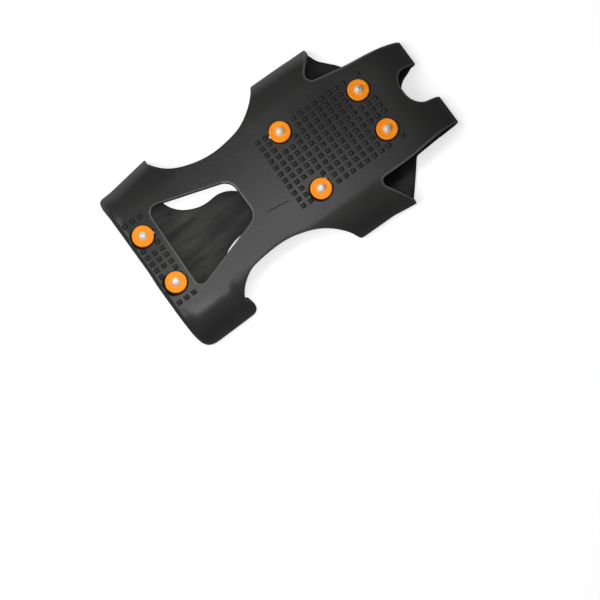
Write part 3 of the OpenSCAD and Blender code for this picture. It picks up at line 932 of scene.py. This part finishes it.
def nub_tree():
    """Two fields of square nubs with bevelled tops, left out round each point of the incoming geometry."""
    tree = bpy.data.node_groups.new("tread_nubs", "GeometryNodeTree")

    def socket(name, kind, way="INPUT"):
        tree.interface.new_socket(name, in_out=way, socket_type=f"NodeSocket{kind}")

    socket("Studs", "Geometry")
    for key, value in NUB_INPUTS.items():
        socket(key, "Int" if isinstance(value, int) else "Float")
    socket("Finish", "Material")
    socket("Nubs", "Geometry", "OUTPUT")
    given = node(tree, "NodeGroupInput")

    def vector(**axes):
        return node(tree, "ShaderNodeCombineXYZ", axes)[0]

    def moved(geometry, **how):
        return node(tree, "GeometryNodeTransform", {"Geometry": geometry, **how})[0]

    def together(*shapes):
        made = tree.nodes.new("GeometryNodeJoinGeometry")
        for shape in shapes:
            tree.links.new(shape, made.inputs[0])
        return made.outputs[0]

    def field(rows, columns, middle):
        along = maths(tree, "MULTIPLY", maths(tree, "SUBTRACT", given[rows], 1.0), given["Pitch Along"])
        across = maths(tree, "MULTIPLY", maths(tree, "SUBTRACT", given[columns], 1.0), given["Pitch Across"])
        grid = node(tree, "GeometryNodeMeshGrid", {"Size X": along, "Size Y": across, "Vertices X": given[rows],
                                                   "Vertices Y": given[columns]})
        return moved(grid["Mesh"], Translation=vector(X=given[middle], Z=given["Tread Height"]))

    def frustum(low_r, high_r, height):
        return node(tree, "GeometryNodeMeshCone", {"Vertices": 4, "Radius Bottom": low_r, "Radius Top": high_r,
                                                   "Depth": height}, fill_type="NONE")["Mesh"]

    both = together(field("Rows", "Columns", "Middle X"), field("Heel Rows", "Heel Columns", "Heel Middle X"))
    near = node(tree, "GeometryNodeProximity", {0: given["Studs"]}, target_element="POINTS")["Distance"]
    close = node(tree, "FunctionNodeCompare", {0: near, 1: given["Keep Off"]}, operation="LESS_THAN")
    kept = node(tree, "GeometryNodeDeleteGeometry", {"Geometry": both, "Selection": close[0]})

    corner = sqrt(0.5)
    flank_h = maths(tree, "SUBTRACT", maths(tree, "ADD", given["Nub Height"], given["Nub Root"]), given["Edge"])
    top_r = maths(tree, "MULTIPLY", given["Taper"], corner)
    bevel_r = maths(tree, "SUBTRACT", top_r, maths(tree, "MULTIPLY", given["Edge"], 0.3))
    flank = frustum(corner, top_r, flank_h)
    bevel = frustum(top_r, bevel_r, given["Edge"])
    top = node(tree, "GeometryNodeMeshCircle", {"Vertices": 4, "Radius": bevel_r}, fill_type="NGON")["Mesh"]
    nub = together(flank, moved(bevel, Translation=vector(Z=flank_h)),
                   moved(top, Translation=vector(Z=maths(tree, "ADD", flank_h, given["Edge"]))))
    squared = moved(nub, Rotation=(0.0, 0.0, pi / 4))
    sized = moved(squared, Scale=vector(X=given["Nub Length"], Y=given["Nub Width"], Z=1.0),
                  Translation=vector(Z=maths(tree, "MULTIPLY", given["Nub Root"], -1.0)))
    wear_and_highlight = node(tree, "FunctionNodeRandomValue", {2: 0.9, 3: 1.0, "Seed": 5})[1]
    placed = node(tree, "GeometryNodeInstanceOnPoints", {"Points": kept[0], "Instance": sized,
                                                         "Scale": vector(X=1.0, Y=1.0, Z=wear_and_highlight)})
    real = node(tree, "GeometryNodeRealizeInstances", {"Geometry": placed[0]})
    done = node(tree, "GeometryNodeSetMaterial", {"Geometry": real[0], "Material": given["Finish"]})
    node(tree, "NodeGroupOutput", {0: done[0]})
    return tree


def make_nubs():
    centres = bpy.data.meshes.new("stud_centres")
    centres.from_pydata([(c.x, c.y, HEIGHT) for c in STUD_CENTRES.values()], [], [])
    source = linked("nub_source", centres)
    modifier = source.modifiers.new("nubs", "NODES")
    modifier.node_group = nub_tree()
    settings = {**NUB_INPUTS, "Finish": RUBBER}
    for item in modifier.node_group.interface.items_tree:
        if item.name in settings:
            modifier[item.identifier] = settings[item.name]
    evaluated = source.evaluated_get(bpy.context.evaluated_depsgraph_get())
    mesh = bpy.data.meshes.new_from_object(evaluated)
    mesh.transform(Matrix.Scale(MM, 4))
    source.modifiers.remove(modifier)
    bpy.data.objects.remove(source)
    mesh.name = "tread_nubs"
    # The nubs' lowest points get painted shade, which fades up their flanks.
    foot = [1.0 if v.co.z < HEIGHT * MM else 0.0 for v in mesh.vertices]
    piece = finished("tread_nubs", mesh, {"cut": foot})
    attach(piece, "overshoe")


# Studs
def bead(centre_r, centre_z, radius, start, end, steps=5):
    """Points on a rounded edge of a turned shape, by angles in degrees."""
    angles = np.radians(np.linspace(start, end, steps + 1))
    return [(centre_r + radius * cos(a), centre_z + radius * sin(a)) for a in angles]


def stud_heights(name):
    """Heights of a stud's faces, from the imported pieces."""
    spike, disc, tip = (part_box(f"{name}_{piece}") for piece in ("spike", "disc", "tip"))
    return spike[0].z / MM, disc[0].z / MM, disc[1].z / MM, spike[1].z / MM, tip[0].z / MM, tip[1].z / MM


ROOT_R = 5.5
ROOT_T = 1.3
ROOT_TOP_EDGE_R = 0.2
SHANK_R = 2.7
CONE_END_R = 1.8
# The foot of the cone: how far in from the shank, and up from the disc.
CONE_FOOT = [(0.08, 0.1), (0.3, 0.34), (0.55, 0.75)]
DISC_R = 6.7
DISC_EDGE_R = 0.8
DISH_R = 5.1
DISH_H = 0.15
DISH_EDGE_R = 0.12
# The middle of the dish: how far out from the bore, and up from the dish.
DISH_MIDDLE = [(0.6, -0.06), (0.12, 0.02), (0.0, -0.1)]
TIP_R = 1.1
TIP_END_R = 0.42
# Radius of the other broken edges, and the gap between pieces that are pressed together.
EDGE_R = 0.25
PRESS_GAP = 0.02
# A nib's sections: how far past the disc's edge, half the width, and the height.
NIB_SECTIONS = [(-0.9, 0.85, 1.9), (0.1, 0.8, 1.7), (0.42, 0.65, 1.4), (0.58, 0.4, 1.0)]
NIB_SIDES = 8
NIB_LIFT = 0.03
DISC_SIDES = 72
METAL_SIDES = 56


def spike_profile(name):
    root, _, disc_top, cone_top, tip_low, _ = stud_heights(name)
    flange = root + ROOT_T
    profile = [(0, root)] + bead(ROOT_R - EDGE_R, root + EDGE_R, EDGE_R, -90, 0, 3)
    profile += bead(ROOT_R - ROOT_TOP_EDGE_R, flange - ROOT_TOP_EDGE_R, ROOT_TOP_EDGE_R, 0, 90, 3)
    profile += [(SHANK_R + 0.02, flange), (SHANK_R, flange + 0.02), (SHANK_R, disc_top - 0.05)]
    profile += [(SHANK_R - inwards, disc_top + up) for inwards, up in CONE_FOOT]
    profile += bead(CONE_END_R - EDGE_R, cone_top - EDGE_R, EDGE_R, 20, 90, 4)
    profile += [(TIP_R + 0.06, cone_top), (TIP_R + 0.02, cone_top - 0.08), (TIP_R + 0.01, tip_low), (0, tip_low)]
    return profile


def disc_profile(name):
    _, low, high, _, _, _ = stud_heights(name)
    bore, dish = SHANK_R + PRESS_GAP, high - DISH_H
    profile = [(bore, low), (DISC_R - 0.3, low)] + bead(DISC_R - EDGE_R, low + EDGE_R, EDGE_R, -90, 0, 3)
    profile += bead(DISC_R - DISC_EDGE_R, high - DISC_EDGE_R, DISC_EDGE_R, 0, 90, 7)
    profile += [(DISH_R + 0.25, high)] + bead(DISH_R - 0.05, dish + DISH_EDGE_R, DISH_EDGE_R, 0, -90, 3)
    return profile + [(bore + out, dish + up) for out, up in DISH_MIDDLE]


def tip_profile(name):
    *_, low, high = stud_heights(name)
    end = bead(TIP_R - 0.45, high - TIP_END_R, TIP_END_R, 15, 80, 5)
    return [(0, low), (TIP_R, low), (TIP_R, high - 0.55)] + end + [(0, high)]


def nib(name):
    """The nib that the mould left on a disc's edge."""
    low = stud_heights(name)[1]
    centre = Vector((*STUD_CENTRES[name], 0))
    turn = Matrix.Rotation(radians(NIB_ANGLES[name]), 3, "Z")
    angles = [tau * k / NIB_SIDES + pi / NIB_SIDES for k in range(NIB_SIDES)]
    sections = []
    for past, half, high in NIB_SECTIONS:
        corners = [(DISC_R + past, half * cos(a), low + NIB_LIFT + high * (0.5 + 0.5 * sin(a)))
                   for a in angles]
        sections.append([turn @ Vector(corner) + centre for corner in corners])
    return lofted(sections)


def turned_distance(points, centre):
    """The distance along the turned face, which rises from the axis outwards and up."""
    return [(p.xy - centre).length - 0.7 * p.z for p in points]


def make_stud(name):
    centre = STUD_CENTRES[name]
    points, faces = lathe(disc_profile(name), DISC_SIDES, centre, closed=True)
    nib_points, nib_faces = nib(name) if name in NIB_ANGLES else ([], [])
    share = [0.0] * len(points) + [1.0] * len(nib_points)
    faces += [[len(points) + i for i in face] for face in nib_faces]
    disc = mesh_object(f"{name}_plastic_disc", points + nib_points, faces, ORANGE, {"nib": share})
    made = [(disc, "disc", "orange_plastic")]
    for piece, label, profile, material, slot in (("spike", "steel_spike", spike_profile, STEEL, "steel"),
                                                  ("tip", "carbide_tip", tip_profile, CARBIDE, "carbide")):
        points, faces = lathe(profile(name), METAL_SIDES, centre)
        turned = mesh_object(f"{name}_{label}", points, faces, material, {"turned": turned_distance(points, centre)})
        made.append((turned, piece, slot))
    for piece, cad_piece, slot in made:
        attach(piece, f"{name}_stud")
        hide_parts(f"{name}_{cad_piece}")


make_overshoe()
make_nubs()
for stud in STUDS:
    make_stud(stud)


# Camera at the photograph's angle
IMAGE = 600
LENS = 200.0
SENSOR = 36.0
AZIMUTH = radians(-35.66)
TILT = radians(9.8)
DISTANCE = 2026.3
AIM = Vector((0, 0, 20))
AIM_PIXEL = (289.1, 170.6)


def make_camera():
    data = bpy.data.cameras.new("camera")
    data.lens = LENS
    data.sensor_width = SENSOR
    data.clip_end = 20
    camera = linked("camera", data)
    turn = Matrix.Rotation(AZIMUTH, 3, "Z") @ Matrix.Rotation(TILT, 3, "X")
    scale = IMAGE * LENS / SENSOR
    ray = turn @ Vector(((AIM_PIXEL[0] - IMAGE / 2) / scale, (IMAGE / 2 - AIM_PIXEL[1]) / scale, -1))
    place = (AIM - ray * DISTANCE) * MM
    camera.matrix_world = Matrix.Translation(place) @ turn.to_4x4()
    bpy.context.scene.camera = camera


# Floor, light and background, in metres
FLOOR_REACH = 4.0
FLOOR_Z = -0.00005
FLOOR_CORNERS = [(-1, -1), (1, -1), (1, 1), (-1, 1)]
# Across the cleat, the floor as the rubber reflects it turns from dark to bright between these two places: a painted
# reflection, with the floor glowing in reflections on the left only.
GLEAM_Y = (0.04, 0.08)


def make_floor():
    material = bpy.data.materials.new("white_floor")
    material.use_nodes = True
    tree = material.node_tree
    tree.nodes.clear()
    path = node(tree, "ShaderNodeLightPath")
    where = node(tree, "ShaderNodeTexCoord")["Object"]
    across = node(tree, "ShaderNodeSeparateXYZ", {0: where})["Y"]

    def reflected(right, left):
        """A value for glossy rays only, on the right of GLEAM_Y and on the left of it."""
        return maths(tree, "MULTIPLY", path["Is Glossy Ray"], ranged(tree, across, right, left, *GLEAM_Y))

    seen = maths(tree, "MAXIMUM", path["Is Camera Ray"], reflected(0, 0.4))
    shade = mixed(tree, reflected(1, 0), grey(0.62), grey(0.25))
    matte = node(tree, "ShaderNodeBsdfDiffuse", {"Color": shade})
    glow = node(tree, "ShaderNodeEmission", {"Color": grey(1), "Strength": 0.65})
    lit = node(tree, "ShaderNodeAddShader", {0: matte[0], 1: glow[0]})
    both = node(tree, "ShaderNodeMixShader", {0: seen, 1: matte[0], 2: lit[0]})
    node(tree, "ShaderNodeOutputMaterial", {"Surface": both[0]})
    mesh = bpy.data.meshes.new("floor")
    mesh.from_pydata([(x * FLOOR_REACH, y * FLOOR_REACH, FLOOR_Z) for x, y in FLOOR_CORNERS], [], [[0, 1, 2, 3]])
    mesh.materials.append(material)
    floor = linked("floor", mesh)


def make_world():
    world = bpy.data.worlds.new("studio")
    world.use_nodes = True
    tree = world.node_tree
    tree.nodes.clear()
    path = node(tree, "ShaderNodeLightPath")
    seen = maths(tree, "MAXIMUM", path["Is Camera Ray"], path["Is Transmission Ray"])
    soft = node(tree, "ShaderNodeBackground", {"Color": grey(1), "Strength": 0.2})
    white = node(tree, "ShaderNodeBackground", {"Color": grey(1), "Strength": 1})
    both = node(tree, "ShaderNodeMixShader", {0: seen, 1: soft[0], 2: white[0]})
    node(tree, "ShaderNodeOutputWorld", {"Surface": both[0]})
    bpy.context.scene.world = world


# Area lights: place, aim and size in metres, and power in watts.
LIGHTS = {
    "softbox": ((-0.04, -0.006, 0.2), (-0.04, -0.006, 0), (0.2, 0.03), 0.138),
    "heel_softbox": ((-0.083, -0.06, 0.2), (-0.091, -0.036, 0.02), (0.03, 0.06), 0.09),
    "waist_softbox": ((0, 0.034, 0.2), (0, 0.034, 0), (0.04, 0.03), 0.016),
    "window": ((-0.8, 0.25, 1.15), (0, 0, 0), (0.8, 0.8), 9.2),
}


def area_light(name, place, aim, size, power):
    data = bpy.data.lights.new(name, "AREA")
    data.shape = "RECTANGLE"
    data.size, data.size_y = size
    data.energy = power
    light = linked(name, data)
    light.location = place
    light.rotation_euler = (Vector(aim) - Vector(place)).to_track_quat("-Z", "Y").to_euler()
    light.visible_camera = False


make_camera()
make_floor()
make_world()
for light_name, setting in LIGHTS.items():
    area_light(light_name, *setting)
bpy.context.scene.view_settings.view_transform = "Standard"
